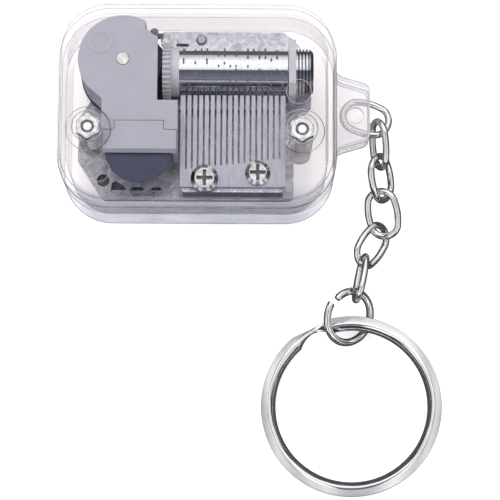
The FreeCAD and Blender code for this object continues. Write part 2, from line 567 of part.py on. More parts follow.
TILE = [(-16.7, -8.6), (-3.7, -8.6), (-3.7, -4.6), (-5.95, -4.6), (-5.95, -2.95), (-14.6, -2.95),
        (-14.6, -4.6), (-16.7, -4.6)]
cover_outer = cover_solid(0, cover_low, cover_z + cover_t)
cover_room = cover_solid(cover_wall, cover_low - 1, cover_z)
gear_window = Part.makeBox(7, 14, 12, Vector(-7.6, -8.6 + 9.2 - 0.4, cover_low - 3))
tile_gap = Part.makeBox(11.8, 3.0, 12, Vector(-16.1, -9.0, cover_low - 3))
tile_bay = slab([(x + (0.1 if x > -10 else -0.1), y + (0.1 if y > -5 else -2)) for x, y in TILE],
                cover_z - 0.01, cover_t + 1)
cover_body = cover_outer.cut(cover_room).cut(tile_gap).cut(tile_bay)
cover_body = cover_body.cut(gear_window.common(cover_solid(0, cover_low - 3, cover_z)))
click_pin = Part.makeCylinder(0.5, cover_z - 14.75 + 0.2, Vector(click_x, click_y, 14.75))
shaft_holes = Part.makeCylinder(0.65, 20, Vector(-20, idler_y, idler_z), X)
arbor_eye = Part.makeCylinder(val("arbor_end_r") + 0.08, 4, Vector(barrel_x, barrel_y, cover_z - 1))
cover_feet = Part.makeBox(0.8, 3.0, cover_low + 0.5 - bed_z - bed_t, Vector(-16.9, -5.8, bed_z + bed_t))
cover_foot_b = Part.makeBox(0.8, 3.0, cover_low + 0.5 - bed_z - bed_t, Vector(-4.3, -5.8, bed_z + bed_t))
disc_room = Part.makeCylinder(val("disc_r") + 0.25, 1.0, Vector(gov_x, gov_y, val("disc_z") - 0.25))
cover_body = cover_body.cut(disc_room)
cover_body = cover_body.fuse(click_pin).fuse(cover_feet).fuse(cover_foot_b).cut(shaft_holes).cut(arbor_eye)
node("gear_cover", solid(cover_body.removeSplitter()))

tile = slab(TILE, cover_z, cover_t)
front_rim = [e for e in tile.Edges if abs(e.BoundBox.YMax + 8.6) < 0.01 and e.BoundBox.ZMin > cover_z + 0.9]
tile_eye = Part.makeCylinder(0.45, 0.6, Vector(gov_x, gov_y, cover_z - 0.1))
node("governor_bridge", solid(tile.makeChamfer(0.6, front_rim).cut(tile_eye)))

# ---- Key chain: six oval links, an open jump ring and a split key ring ----

link_len, link_wid, wire_r = val("link_len"), val("link_wid"), val("wire_r")
bend_r = link_wid / 2 - wire_r
side_len = link_len - link_wid
half = link_len / 2 - wire_r
sides, bends = [], []
for sign in (1, -1):
    sides.append(rod("wire_r", "link_len - link_wid",
                     ("(link_wid - link_len) / 2", f"{sign} * (link_wid / 2 - wire_r)", 0), X))
    bend = doc.addObject("Part::Torus", "Bend")
    bind(bend, Radius1="link_wid / 2 - wire_r", Radius2="wire_r")
    bend.Angle3 = 180
    bend.Placement = Placement(Vector(sign * side_len / 2, 0, 0), Rotation(Z, -90 * sign))
    bends.append(bend)
link_master = fuse(*sides, *bends)
doc.recompute()


class Pose:
    """Where a link lies: its centre, its length's direction and its width's direction."""

    def __init__(self, center, heading, dip, roll):
        self.center = center
        self.rotation = Rotation(Z, heading) * Rotation(Y, dip) * Rotation(X, roll)
        self.along = self.rotation.multVec(X)
        self.across = self.rotation.multVec(Y)

    def hook(self, bend_angle):
        """A point of the wire's centre on the far bend, and the wire's direction there."""
        out, side = math.cos(math.radians(bend_angle)), math.sin(math.radians(bend_angle))
        point = self.center + self.along * (side_len / 2 + bend_r * out) + self.across * (bend_r * side)
        return point, self.across * out - self.along * side


post = Vector(lug_x, 0, split_z)
first_heading = -16
first_reach = link_len / 2 - 2 * wire_r - val("lug_post_r") - 0.05
first = Pose(post + polar(first_reach, math.radians(first_heading)), first_heading, 0, 0)
poses, hinges = [first], [("link_1", post, Z)]
# each link hangs on the last one's far bend: heading, dip and roll, the distance between the two
# wires, and the place on the bend, as the chain falls from the lug to the table
LAY = [(-86, 22, 69, 2.35, -54), (-74, 34, -45, 1.7, -17), (-80, 16.5, 24.5, 1.65, -34),
       (-125, -18, -42.5, 1.5, -29), (-100, -15, 81, 1.5, 22.5)]
for heading, dip, roll, slack, bend_angle in LAY:
    point, way = poses[-1].hook(bend_angle)
    along = (Rotation(Z, heading) * Rotation(Y, dip)).multVec(X)
    poses.append(Pose(point + along * (half - slack), heading, dip, roll))
    hinges.append((f"link_{len(poses)}", point, way))
for i, pose in enumerate(poses, 1):
    node(f"chain_link_{i}", solid(link_master.Shape.copy(), Placement(pose.center, pose.rotation)))

jump_r, ring_r, ring_w, coil_t = val("jump_r"), val("ring_r"), val("ring_w"), val("coil_t")
jump_frame = Rotation(Y, 35.3) * Rotation(X, 18.5)
point, way = poses[-1].hook(-23.6)
jump_center = point - jump_frame.multVec(polar(jump_r - 1.42, math.radians(76)))
hinges.append(("jump_ring", point, way))
hinges.append(("split_ring", jump_center, jump_frame.multVec(Z)))
jump_ring = Part.makeTorus(jump_r, val("jump_wire_r"), Vector(), Z, -180, 180, 348)
node("jump_ring", solid(jump_ring, Placement(jump_center, jump_frame * Rotation(Z, 153))))

ring_at = Placement(Vector(27.72, -51.53, 1.22), Rotation(X, 1.44) * Rotation(Y, -3.96))


def coil_section(turn, low, up, slim=0.0):
    """One coil's cross-section: its free face falls from a crest near the inside to a thin outer edge.

    The free face is the top one where up is 1, and the bottom one where it is 0.
    """
    inner, outer = ring_r - ring_w + 1.1 * slim, ring_r - 0.5 * slim
    tall = coil_t - val("coil_gap") / 2
    crest, inner_drop, outer_drop = inner + 1.0 - 0.6 * slim, 1.15 - 0.4 * slim, 0.95
    corners = [(inner, low + (1 - up) * inner_drop), (crest, low), (outer, low + (1 - up) * outer_drop),
               (outer, low + tall - up * outer_drop), (crest, low + tall), (inner, low + tall - up * inner_drop)]
    points = [polar(radius, turn, height) for radius, height in corners]
    return Part.makePolygon(points + points[:1])


end_a, end_b = math.radians(104), math.radians(131)
upper = coil_t + val("coil_gap") / 2
lower_coil = Part.Face(coil_section(end_b, 0, 0)).revolve(Vector(), Z, 333)
upper_coil = Part.Face(coil_section(end_b, upper, 1)).revolve(Vector(), Z, 333)
steps = 8
ramp_wires = []
for i in range(steps + 1):
    part = i / steps
    rise = part ** 2 * (3 - 2 * part)
    ramp_wires.append(coil_section(end_a + (end_b - end_a) * part, upper * rise, rise, math.sin(math.pi * part)))
ramp = Part.makeLoft(ramp_wires, True, False)
ring_body = lower_coil.fuse(ramp).fuse(upper_coil)
node("split_ring", solid(ring_body, ring_at))

# ---- Check every object, then write each node ----

doc.recompute()
for obj in doc.Objects:
    if "Invalid" in obj.State or "Error" in obj.State:
        raise RuntimeError(f"{obj.Label} did not build: {obj.State}")
for obj in nodes:
    if obj.Shape.isNull() or not obj.Shape.isValid():
        raise RuntimeError(f"{obj.Label} has no valid shape")

os.makedirs("parts", exist_ok=True)
for obj in nodes:
    obj.Shape.exportStep(f"parts/{obj.Label}.step")

for name, point, way in hinges:
    print("hinge", name, *(round(v, 4) for v in (*point, *way)))
print(f"idler shaft at y {idler_y:.4f}, z {idler_z:.4f}; {len(nodes)} nodes")
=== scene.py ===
import json
import math

import bpy
import bmesh
from mathutils import Matrix, Vector


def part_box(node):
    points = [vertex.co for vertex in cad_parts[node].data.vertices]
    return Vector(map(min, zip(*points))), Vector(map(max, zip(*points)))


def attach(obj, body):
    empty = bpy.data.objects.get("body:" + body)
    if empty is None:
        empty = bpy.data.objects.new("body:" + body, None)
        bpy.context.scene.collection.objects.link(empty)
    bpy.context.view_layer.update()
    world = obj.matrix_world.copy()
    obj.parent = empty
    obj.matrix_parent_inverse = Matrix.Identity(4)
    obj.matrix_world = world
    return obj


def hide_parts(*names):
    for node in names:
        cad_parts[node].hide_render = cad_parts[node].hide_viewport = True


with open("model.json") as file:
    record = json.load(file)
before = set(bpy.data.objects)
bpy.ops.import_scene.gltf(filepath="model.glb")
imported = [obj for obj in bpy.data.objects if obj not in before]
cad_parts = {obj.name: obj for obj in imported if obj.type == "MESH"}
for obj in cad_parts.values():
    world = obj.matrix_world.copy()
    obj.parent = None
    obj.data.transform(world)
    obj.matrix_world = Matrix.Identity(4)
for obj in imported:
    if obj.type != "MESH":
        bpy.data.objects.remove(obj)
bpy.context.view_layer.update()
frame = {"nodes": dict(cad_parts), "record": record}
nodes = frame["nodes"]
MM = 0.001

# ---- Sizes and places of the part, in millimetres, as its CAD source has them ----

CASE_W, CASE_L, CASE_T, CORNER_R, FRONT_WALL, JOINT_Z = 49.2, 36.4, 20.0, 9.0, 1.8, 10.0
CASE_SIDE, UNDER_FACE = CASE_W / 2, CASE_T - FRONT_WALL
NUTS = (("left", -19.2, -4.5), ("right", 18.45, -4.8))
NUT_SEAT_R, BOSS_R, BOLT_R = 2.7, 3.95, 0.85
BED_UNDER, POCKET_FLOOR, BED_TOP = 4.6, 4.9, 5.6
SPRING_POST, POST_REACH, DARK_CORNER = (-8.1, 15.3), 1.5, (-21, -12)
CUP_GROOVES, GROOVE_PITCH, GROOVE_SHARE = 17.75, 0.6, 0.5
COMB_TOP = 12.7
COMB_SCREWS = (("left", 1.25, -12.3), ("right", 10.7, -11.3))

# ---- Materials: every one is a Principled shader with its grain made by nodes ----

# sockets of a Mix node that mixes colours: its two colours and its result
MIX_A, MIX_B, MIX_OUT = 6, 7, 2
# where along Y the near wall's painted grey shade fades out, that grey, and how much painted grey and how
# milky the lug is
NEAR_WALL, WALL_GREY, LUG_GREY, LUG_MILK = (-17.6, -14.2), (0.815, 0.83, 0.87, 1), 0.04, 0.2
# where along Y the lines on the case go from strong to faint
LINES_FADE = (-14, -8)


def feed_socket(tree, socket, feed):
    """Gives a socket a constant or another node's output."""
    if isinstance(feed, bpy.types.NodeSocket):
        tree.links.new(feed, socket)
    else:
        socket.default_value = feed


def arithmetic(tree, operation, *feeds):
    """One step of arithmetic on constants and outputs."""
    step = tree.nodes.new("ShaderNodeMath")
    step.operation = operation
    for socket, feed in zip(step.inputs, feeds):
        feed_socket(tree, socket, feed)
    return step.outputs[0]


class Paint:
    """A material being built: a Principled shader, and short ways to feed its sockets."""

    def __init__(self, name, color, roughness, metallic=0.0, **sockets):
        self.material = bpy.data.materials.new(name)
        self.material.use_nodes = True
        self.tree = self.material.node_tree
        self.shader = self.tree.nodes["Principled BSDF"]
        self.shader.inputs["Base Color"].default_value = (*color, 1)
        self.shader.inputs["Roughness"].default_value = roughness
        self.shader.inputs["Metallic"].default_value = metallic
        self.color, self.roughness = color, roughness
        for socket, value in sockets.items():
            self.shader.inputs[socket.replace("_", " ")].default_value = value
        self.place = self.tree.nodes.new("ShaderNodeTexCoord").outputs["Object"]

    def noise(self, scale, detail=3.0, stretch=(1, 1, 1), distortion=0.0):
        """Noise in the object's own metres: scale is in features per millimetre."""
        mapping = self.tree.nodes.new("ShaderNodeMapping")
        mapping.inputs["Scale"].default_value = [s / MM for s in stretch]
        texture = self.tree.nodes.new("ShaderNodeTexNoise")
        texture.inputs["Scale"].default_value = scale
        texture.inputs["Detail"].default_value = detail
        texture.inputs["Distortion"].default_value = distortion
        self.tree.links.new(self.place, mapping.inputs["Vector"])
        self.tree.links.new(mapping.outputs["Vector"], texture.inputs["Vector"])
        return texture.outputs["Fac"]

    def between(self, factor, low, high, start=0.3, stop=0.7):
        """Maps a range of a value, such as a noise's middle part, to another range."""
        ramp = self.tree.nodes.new("ShaderNodeMapRange")
        limits = {"From Min": start, "From Max": stop, "To Min": low, "To Max": high}
        for socket, value in limits.items():
            ramp.inputs[socket].default_value = value
        self.tree.links.new(factor, ramp.inputs["Value"])
        return ramp.outputs["Result"]

    def along(self, axis):
        """The coordinate along an axis, in metres."""
        split = self.tree.nodes.new("ShaderNodeSeparateXYZ")
        self.tree.links.new(self.place, split.inputs[0])
        return split.outputs[axis]

    def slope(self, axis, low, high, first, last):
        """A value that changes from first to last between two places on an axis, in millimetres."""
        return self.between(self.along(axis), first, last, low * MM, high * MM)

    def multiplied(self, color, factor, by):
        """A colour multiplied by another, as far as the factor says."""
        mix = self.tree.nodes.new("ShaderNodeMix")
        mix.data_type, mix.blend_type = "RGBA", "MULTIPLY"
        for socket, feed in (("Factor", factor), (MIX_A, color), (MIX_B, by)):
            feed_socket(self.tree, mix.inputs[socket], feed)
        return mix.outputs[MIX_OUT]

    def shade(self, factor, by):
        """Multiplies the base colour made so far."""
        base = self.shader.inputs["Base Color"]
        self.tree.links.new(self.multiplied(base.links[0].from_socket, factor, by), base)
        return self

    def tint(self, factor, dark, light):
        """The colour varies between two brightnesses of itself."""
        ramp = self.tree.nodes.new("ShaderNodeValToRGB")
        for element, position, amount in zip(ramp.color_ramp.elements, (0.3, 0.7), (dark, light)):
            element.color = (*(min(1, c * amount) for c in self.color), 1)
            element.position = position
        self.tree.links.new(factor, ramp.inputs["Fac"])
        self.tree.links.new(ramp.outputs["Color"], self.shader.inputs["Base Color"])
        return self

    def gloss(self, factor, spread):
        """The roughness varies around its own value."""
        ranged = self.between(factor, self.roughness - spread, self.roughness + spread)
        self.tree.links.new(ranged, self.shader.inputs["Roughness"])
        return self

    def bump(self, factor, height, strength=1.0):
        """Surface relief, its height in millimetres."""
        relief = self.tree.nodes.new("ShaderNodeBump")
        relief.inputs["Strength"].default_value = strength
        relief.inputs["Distance"].default_value = height * MM
        self.tree.links.new(factor, relief.inputs["Height"])
        self.tree.links.new(relief.outputs["Normal"], self.shader.inputs["Normal"])
        return self

    def darker(self, axis, low, high, amount, clear_of=None):
        """Paints shade, darker towards one side along an axis, but nothing below clear_of: painted shade in
        hollows and under parts.
        """
        level = self.slope(axis, low, high, amount, 1.0)
        if clear_of is not None:
            under = self.slope(axis, clear_of - 0.02, clear_of + 0.02, 1.0, 0.0)
            level = arithmetic(self.tree, "MAXIMUM", level, under)
        return self.shade(1.0, level)

    def darker_near(self, spot, reach, amount):
        """Darkens round an upright line."""
        flat = self.tree.nodes.new("ShaderNodeVectorMath")
        flat.operation = "MULTIPLY"
        flat.inputs[1].default_value = (1, 1, 0)
        away = self.tree.nodes.new("ShaderNodeVectorMath")
        away.operation = "DISTANCE"
        away.inputs[1].default_value = (spot[0] * MM, spot[1] * MM, 0)
        self.tree.links.new(self.place, flat.inputs[0])
        self.tree.links.new(flat.outputs[0], away.inputs[0])
        level = self.between(away.outputs["Value"], amount, 1.0, reach * MM, (reach + 0.2) * MM)
        return self.shade(1.0, level)

    def ringed(self, axis, start, pitch, share, amount):
        """Darkens in bands across an axis: the shade in turned grooves."""
        feed = self.along(axis)
        for operation, value in (("SUBTRACT", start * MM), ("DIVIDE", pitch * MM), ("FRACT", 0),
                                 ("LESS_THAN", share)):
            feed = arithmetic(self.tree, operation, feed, value)
        return self.shade(feed, (amount, amount, amount, 1))

    def fade(self, axis, low, high, first, last):
        """The alpha changes along an axis."""
        self.tree.links.new(self.slope(axis, low, high, first, last), self.shader.inputs["Alpha"])
        return self

    def shaded_wall(self, color):
        """Painted shade: the near wall of the case, and a little of the lug, is tinted grey in soft clouds,
        standing for the greys of the works behind it.
        """
        near = self.slope("Y", *NEAR_WALL, 1.0, 0.0)
        lug = self.slope("X", CASE_SIDE - 0.2, CASE_SIDE + 0.2, 0.0, LUG_GREY)
        cloud = self.between(self.noise(0.14, 4, (1, 1, 3)), 0.45, 1.3)
        factor = arithmetic(self.tree, "MULTIPLY", arithmetic(self.tree, "MAXIMUM", near, lug), cloud)
        return self.multiplied(color, factor, WALL_GREY)

    def see_through(self, facing, edge_on, start, ior, strength):
        """Clear plastic that does not bend light.

        It darkens where it is seen edge-on, has painted grey shade on its near wall, mirrors by Fresnel's
        law, and is a little milky at the lug.
        """
        weight = self.tree.nodes.new("ShaderNodeLayerWeight")
        weight.inputs["Blend"].default_value = 0.5
        shade = self.tree.nodes.new("ShaderNodeValToRGB")
        shade.color_ramp.elements[0].color = (*facing, 1)
        shade.color_ramp.elements[0].position = start
        shade.color_ramp.elements[1].color = (*edge_on, 1)
        # most of the darkening comes in the last part of the turn
        nearly = shade.color_ramp.elements.new(start + 0.6 * (1 - start))
        nearly.color = (*(f * 0.955 for f in facing), 1)
        window = self.tree.nodes.new("ShaderNodeBsdfTransparent")
        fresnel = self.tree.nodes.new("ShaderNodeFresnel")
        fresnel.inputs["IOR"].default_value = ior
        shine = arithmetic(self.tree, "MULTIPLY", fresnel.outputs["Fac"], strength)
        milk = self.slope("X", CASE_SIDE - 0.1, CASE_SIDE + 0.9, 0.0, LUG_MILK)
        mix = self.tree.nodes.new("ShaderNodeMixShader")
        self.tree.links.new(weight.outputs["Facing"], shade.inputs["Fac"])
        self.tree.links.new(self.shaded_wall(shade.outputs["Color"]), window.inputs["Color"])
        self.tree.links.new(arithmetic(self.tree, "ADD", shine, milk), mix.inputs["Fac"])
        self.tree.links.new(window.outputs[0], mix.inputs[1])
        self.tree.links.new(self.shader.outputs[0], mix.inputs[2])
        self.tree.links.new(mix.outputs[0], self.tree.nodes["Material Output"].inputs["Surface"])
        return self


clear = Paint("clear_plastic", (0.96, 0.945, 0.95), 0.1)
clear.bump(clear.noise(0.15, 2), 0.02, 0.3)
clear.see_through((0.974, 0.963, 0.966), (0.62, 0.62, 0.645), 0.8, 1.18, 0.36)

moulding = Paint("moulding_lines", (0.72, 0.72, 0.75), 0.2, Alpha=0.55)
moulding.tint(moulding.noise(0.8, 3), 0.9, 1.1)

seam = Paint("seam_lines", (0.16, 0.16, 0.19), 0.3)
seam.tint(seam.noise(0.35, 2), 0.6, 2.6).fade("Y", *LINES_FADE, 1.0, 0.3)

haze = Paint("haze_lines", (0.55, 0.55, 0.58), 0.3)
haze.tint(haze.noise(0.35, 2), 0.7, 1.4).fade("Y", *LINES_FADE, 1.0, 0.35)

# a painted shadow round each nut's seat, and the outline of each nut's post
shadow_and_edge = Paint("shadow_and_boss_edge_lines", (0.2, 0.2, 0.23), 0.3, Alpha=0.8)
shadow_and_edge.tint(shadow_and_edge.noise(0.3, 2), 0.4, 3.4)

# painted shade: dark lines and sheets for the shade in the nuts' mouths and the screw recesses, and a painted
# dark reflection on the nuts' chamfers
painted_shade = Paint("recess_shade", (0.09, 0.09, 0.1), 0.35, 0.8)
painted_shade.tint(painted_shade.noise(2.5, 3), 0.5, 2.5)

nickel = Paint("polished_nickel", (0.8, 0.795, 0.795), 0.07, 1.0)
nickel.tint(nickel.noise(0.7, 4), 0.9, 1.03).gloss(nickel.noise(2.5, 5), 0.03)
nickel.bump(nickel.noise(1.2, 3), 0.02, 0.15)

satin = Paint("satin_nickel", (0.8, 0.8, 0.81), 0.3, 0.6)
satin.tint(satin.noise(0.06, 2), 0.82, 1.08).gloss(satin.noise(0.3, 2), 0.05)

screw = Paint("screw_nickel", (0.74, 0.74, 0.735), 0.14, 1.0)
screw.tint(screw.noise(1.1, 4), 0.62, 1.14).gloss(screw.noise(4, 4), 0.07)
screw.bump(screw.noise(12, 3), 0.005, 0.4)

# the bolts glow a little: painted light that lifts them out of the shade cast by the plastic around them
plated_glowing = Paint("plated_bolt_glowing", (0.9, 0.9, 0.91), 0.45, 0.5, Emission_Color=(1, 1, 1, 1),
               Emission_Strength=0.2)
plated_glowing.tint(plated_glowing.noise(1.5, 4), 0.9, 1.04).gloss(plated_glowing.noise(4, 4), 0.07)

drum = Paint("cylinder_nickel", (0.85, 0.875, 0.93), 0.1, 1.0)
drum.tint(drum.noise(0.9, 3, (3.0, 1, 1)), 0.9, 1.05).gloss(drum.noise(3, 4, (4.0, 1, 1)), 0.06)
drum.bump(drum.noise(6, 3, (5.0, 1, 1)), 0.004, 0.4)

cup = Paint("bearing_nickel", (0.8, 0.825, 0.88), 0.12, 1.0)
cup.tint(cup.noise(0.9, 3), 0.85, 1.05).ringed("X", CUP_GROOVES, GROOVE_PITCH, GROOVE_SHARE, 0.25)

steel = Paint("comb_steel", (0.49, 0.505, 0.57), 0.38, 0.95)
steel.tint(steel.noise(2.0, 4, (4.0, 0.25, 1)), 0.8, 1.15).gloss(steel.noise(5, 4, (5.0, 0.3, 1)), 0.1)
steel.bump(steel.noise(8, 3, (5.0, 0.25, 1)), 0.008, 0.6)

shaft = Paint("bright_steel", (0.74, 0.75, 0.8), 0.16, 1.0)
shaft.tint(shaft.noise(2.0, 3), 0.9, 1.08).gloss(shaft.noise(5, 3), 0.08)

zinc = Paint("cast_zinc", (0.77, 0.79, 0.85), 0.36, 0.75)
zinc.tint(zinc.noise(0.8, 6, distortion=0.8), 0.6, 1.14).gloss(zinc.noise(2.2, 4), 0.12)
zinc.bump(zinc.noise(2.5, 6), 0.06, 0.8)
# painted shade: the blind pockets and the corner under the left nut are darkened where shade falls, and the
# spring post is darker too
zinc.darker("Z", POCKET_FLOOR + 0.1, BED_TOP - 0.2, 0.2, BED_UNDER + 0.1)
zinc.darker("X", *DARK_CORNER, 0.76).darker_near(SPRING_POST, POST_REACH, 0.3)

lead = Paint("weight_metal", (0.22, 0.23, 0.26), 0.55, 0.8)
lead.tint(lead.noise(1.5, 4), 0.8, 1.2)
lead.bump(lead.noise(4, 4), 0.02, 0.6)

grey = Paint("grey_plastic", (0.42, 0.43, 0.482), 0.42)
grey.tint(grey.noise(0.25, 4), 0.965, 1.035).gloss(grey.noise(3.0, 3), 0.06)
grey.bump(grey.noise(7, 3), 0.01, 0.5)

navy = Paint("navy_plastic", (0.036, 0.044, 0.08), 0.4)
navy.tint(navy.noise(0.35, 4), 0.9, 1.15).gloss(navy.noise(3.0, 3), 0.06)
navy.bump(navy.noise(6, 3), 0.01, 0.5)

milky = Paint("white_plastic", (0.56, 0.585, 0.615), 0.32, Subsurface_Weight=0.3, Subsurface_Scale=0.0015)
milky.tint(milky.noise(0.5, 3), 0.96, 1.03).gloss(milky.noise(3.0, 3), 0.05)
milky.bump(milky.noise(6, 3), 0.008, 0.4)

# by material slot, and the nodes that look different from their slot
PAINTS = {"clear_plastic": clear, "polished_nickel": nickel, "bright_steel": shaft, "cast_zinc": zinc,
          "comb_steel": steel, "weight_metal": lead, "cylinder_nickel": drum, "white_plastic": milky,
          "navy_plastic": navy, "grey_plastic": grey}
# the cylinder pins take the dark weight metal: partly their own dark steel, partly painted shade
SPECIAL = {"case_bolt_left": plated_glowing, "case_bolt_right": plated_glowing, "bearing_cup": cup, "cylinder_pins": lead,
           "deck_rivet": steel, "case_nut_left": screw, "case_nut_right": screw, "comb_screw_left": screw,
           "comb_screw_right": screw, "winding_arbor": screw}
# widths of the broken edges on CAD nodes that would be too sharp
SOFTENED = {"gear_cover": 0.12, "governor_bridge": 0.12, "end_plate": 0.15, "comb": 0.05,
            "case_nut_left": 0.1, "case_nut_right": 0.1, "bedplate": 0.08}


def paint(obj, material):
    """Gives one object its material, and no other."""
    obj.data.materials.clear()
    obj.data.materials.append(material)


def soften(obj, width, sharper_than=35):
    """Breaks an object's sharp edges by a small width in millimetres."""
    bevel = obj.modifiers.new("broken edges", "BEVEL")
    bevel.width = width * MM
    bevel.segments = 2
    bevel.limit_method = "ANGLE"
    bevel.angle_limit = math.radians(sharper_than)
    bevel.use_clamp_overlap = True


slot_of = {part["node"]: part["material_slot"] for part in frame["record"]["subparts"]}
for name, obj in nodes.items():
    paint(obj, SPECIAL.get(name, PAINTS[slot_of[name]]).material)
for name, width in SOFTENED.items():
    soften(nodes[name], width)

# ---- Building pieces: all shapes are in millimetres until they become meshes ----


def link_object(name, data):
    """Puts an object with this data into the scene."""
    obj = bpy.data.objects.new(name, data)
    bpy.context.scene.collection.objects.link(obj)
    return obj


def piece(name, shape, materials, body):
    """Turns a shape into a named piece that rides on a body."""
    bmesh.ops.recalc_face_normals(shape, faces=shape.faces)
    mesh = bpy.data.meshes.new(name)
    shape.to_mesh(mesh)
    shape.free()
    mesh.transform(Matrix.Scale(MM, 4))
    obj = link_object(name, mesh)
    for material in materials:
        mesh.materials.append(material)
    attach(obj, body)
    return obj


def skin(sections, closed, matt_faces=()):
    """Smooth faces over a row of cross-sections. The profile's matt edges have a second finish."""
    shape = bmesh.new()
    rings = [[shape.verts.new(p) for p in section] for section in sections]
    count = len(rings[0])
    for i in range(len(rings) if closed else len(rings) - 1):
        here, on = rings[i], rings[(i + 1) % len(rings)]
        for j in range(count):
            face = shape.faces.new((here[j], here[(j + 1) % count], on[(j + 1) % count], on[j]))
            face.material_index = 1 if j in matt_faces else 0
    if not closed:
        shape.faces.new(rings[0])
        shape.faces.new(rings[-1])
    for face in shape.faces:
        face.smooth = True
    return shape


def wire_section(center, out, up, radius, around):
    """Points round a wire's cross-section that lies in the plane of out and up."""
    return [center + radius * (out * math.cos(a) + up * math.sin(a))
            for a in (2 * math.pi * j / around for j in range(around))]


# ---- Key chain and rings, swept anew as smooth wire on the same centre lines as the CAD solids ----

UP = Vector((0, 0, 1))


def chain_piece(name, sections, closed, body, node, materials, matt_faces=()):
    """A swept piece of the chain that stands for a CAD node."""
    obj = piece(name, skin(sections, closed, matt_faces), materials, body)
    if not closed:
        edges = obj.modifiers.new("crisp ends", "EDGE_SPLIT")
        edges.split_angle = math.radians(50)
    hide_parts(node)


def turned(heading, dip=0.0, roll=0.0):
    """The turn that points a link's length along a heading and dip, and rolls it about its length."""
    out = Matrix.Identity(3)
    for angle, axis in ((heading, "Z"), (dip, "Y"), (roll, "X")):
        out = out @ Matrix.Rotation(math.radians(angle), 3, axis)
    return out


LINK_LEN, LINK_WID, WIRE_R, POST_R = 9.6, 6.7, 0.65, 1.5
# the visible wire leaves a hair of air where a link bears on the next thing
DRAWN_R = 0.62
BEND_R, STRAIGHT = LINK_WID / 2 - WIRE_R, (LINK_LEN - LINK_WID) / 2


def hook(center, turn, bend_angle):
    """A point of the wire's centre line on a link's far bend."""
    bend = math.radians(bend_angle)
    return center + turn @ Vector((STRAIGHT + BEND_R * math.cos(bend), BEND_R * math.sin(bend), 0))


def oval_wire(center, turn):
    """A link's closed wire, as cross-sections round its centre line."""
    sections = []
    steps, around, bow, shoulder = 96, 20, 0.1, 2.2
    for i in range(steps):
        part = 2 * math.pi * i / steps
        out, side = math.cos(part), math.sin(part)
        # the sides bow out a little between the two bends, whose shoulders are soft
        line = Vector((math.copysign(STRAIGHT, out) * min(1, abs(out) * shoulder) + BEND_R * out,
                       (BEND_R + bow * max(0, 1 - abs(out) * 2)) * side, 0))
        sections.append([center + turn @ p
                         for p in wire_section(line, Vector((out, side, 0)), UP, DRAWN_R, around)])
    return sections


# the lay of each link, as the part has it: heading, dip and roll in degrees, the slack along it,
# and the place on the last link's bend where it hangs
LAY = [(-86, 22, 69, 2.35, -54), (-74, 34, -45, 1.7, -17), (-80, 16.5, 24.5, 1.65, -34),
       (-125, -18, -42.5, 1.5, -29), (-100, -15, 81, 1.5, 22.5)]
FIRST_HEADING, LUG_POST, POST_GAP = -16, Vector((28.2, 0, JOINT_Z)), 0.05
turn = turned(FIRST_HEADING)
lay = [(LUG_POST + turn @ Vector((LINK_LEN / 2 - 2 * WIRE_R - POST_R - POST_GAP, 0, 0)), turn)]
for heading, dip, roll, slack, bend_angle in LAY:
    point = hook(*lay[-1], bend_angle)
    turn = turned(heading, dip, roll)
    lay.append((point + turn @ Vector((LINK_LEN / 2 - WIRE_R - slack, 0, 0)), turn))
for number, (center, turn) in enumerate(lay, 1):
    chain_piece(f"wire_link_{number}", oval_wire(center, turn), True, f"link_{number}",
                f"chain_link_{number}", [nickel.material])

JUMP_R, JUMP_WIRE, JUMP_HANG, JUMP_BEND, JUMP_SLACK = 4.7, 0.7, math.radians(76), -23.6, 1.42
JUMP_START, JUMP_TURN, JUMP_STEPS, JUMP_LIFT, CUT_SHARE, CUT_END = 153.5, 347, 120, 0.28, 0.2, 0.86
JUMP_DIP, JUMP_ROLL, JUMP_AROUND = 35.3, 18.5, 24
jump_turn = turned(0, JUMP_DIP, JUMP_ROLL)
jump_center = hook(*lay[-1], JUMP_BEND) - jump_turn @ Vector(
    (math.cos(JUMP_HANG), math.sin(JUMP_HANG), 0)) * (JUMP_R - JUMP_SLACK)
sections = []
for i in range(JUMP_STEPS + 1):
    part = i / JUMP_STEPS
    angle = math.radians(JUMP_START + JUMP_TURN * part)
    # the cut ends stand a little apart, one above the ring's plane and one below it, and are broken all round
    rise, fall = max(0, part - (1 - CUT_SHARE)) / CUT_SHARE, max(0, CUT_SHARE - part) / CUT_SHARE
    lift = JUMP_LIFT * rise ** 2 - JUMP_LIFT * fall ** 2
    thick = JUMP_WIRE * (1 if min(part, 1 - part) * JUMP_STEPS >= 1 else CUT_END)
    out = Vector((math.cos(angle), math.sin(angle), 0))
    sections.append([jump_center + jump_turn @ p
                     for p in wire_section(out * JUMP_R + UP * lift, out, UP, thick, JUMP_AROUND)])
chain_piece("open_jump_ring", sections, False, "jump_ring", "jump_ring", [nickel.material])


def rounded(corners, radii, steps=4):
    """A polygon with each corner replaced by a short curve of its own size."""
    points = []
    for i, here in enumerate(corners):
        before, after, radius = corners[i - 1], corners[(i + 1) % len(corners)], radii[i]
        start = here + (before - here).normalized() * min(radius, (before - here).length * 0.45)
        stop = here + (after - here).normalized() * min(radius, (after - here).length * 0.45)
        for j in range(steps + 1):
            t = j / steps
            points.append(start * (1 - t) ** 2 + here * 2 * t * (1 - t) + stop * t ** 2)
    return points


RING_R, RING_W, COIL_T, COIL_GAP = 16.15, 2.6, 1.5, 0.06
RING_CENTER, RING_PITCH, RING_DIP = Vector((27.72, -51.53, 1.22)), math.radians(1.44), math.radians(-3.96)
# how far the crest stands from the inner edge, and how far the face falls from it to either side
CREST_IN, INNER_DROP, OUTER_DROP = 1.0, 1.15, 0.95
